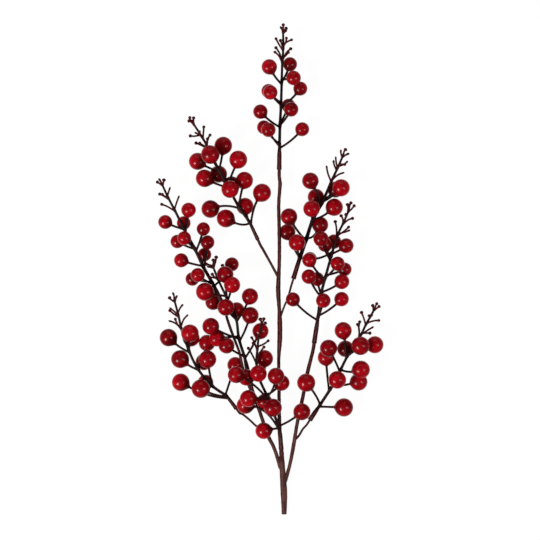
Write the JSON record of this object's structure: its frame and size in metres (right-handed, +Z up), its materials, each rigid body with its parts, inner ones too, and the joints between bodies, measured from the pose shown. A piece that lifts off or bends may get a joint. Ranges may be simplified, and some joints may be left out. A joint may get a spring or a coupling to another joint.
{
  "type": "artificial red berry spray",
  "caption": "Long decorative spray of glossy round red berries on thin moulded stalks, carried by a brown taped wire stem with side branches, lying down as cut",
  "frame": {"origin": "on the surface the spray lies on, under the middle of its length and width", "axes": "+Y runs along the spray from the cut foot to the top sprig, +X goes to the right of it seen from above, +Z is up"},
  "size_m": [0.2267, 0.4915, 0.0458],
  "materials": {
    "stem_tape": "matt brown floral tape, wound over wire",
    "core_steel": "bare drawn steel wire",
    "branch_coating": "thin red-brown coating on wire",
    "berry_sprig": "dark red gloss lacquer on moulded plastic, nearly black on the stalks"
  },
  "bodies": {
    "root": {"main_stem": "stem_tape", "stem_core_wire": "core_steel", "left_branch": "stem_tape", "right_branch": "stem_tape", "upper_left_branch": "branch_coating", "far_left_wire": "branch_coating", "lower_left_wire": "branch_coating", "lower_right_wire": "branch_coating", "upper_right_wire": "branch_coating", "centre_wire": "branch_coating", "top_sprig": "berry_sprig", "upper_left_sprig": "berry_sprig", "far_left_sprig": "berry_sprig", "mid_left_sprig": "berry_sprig", "lower_left_sprig": "berry_sprig", "centre_sprig": "berry_sprig", "upper_right_sprig": "berry_sprig", "mid_right_sprig": "berry_sprig", "lower_right_sprig": "berry_sprig"}
  },
  "joints": []
}
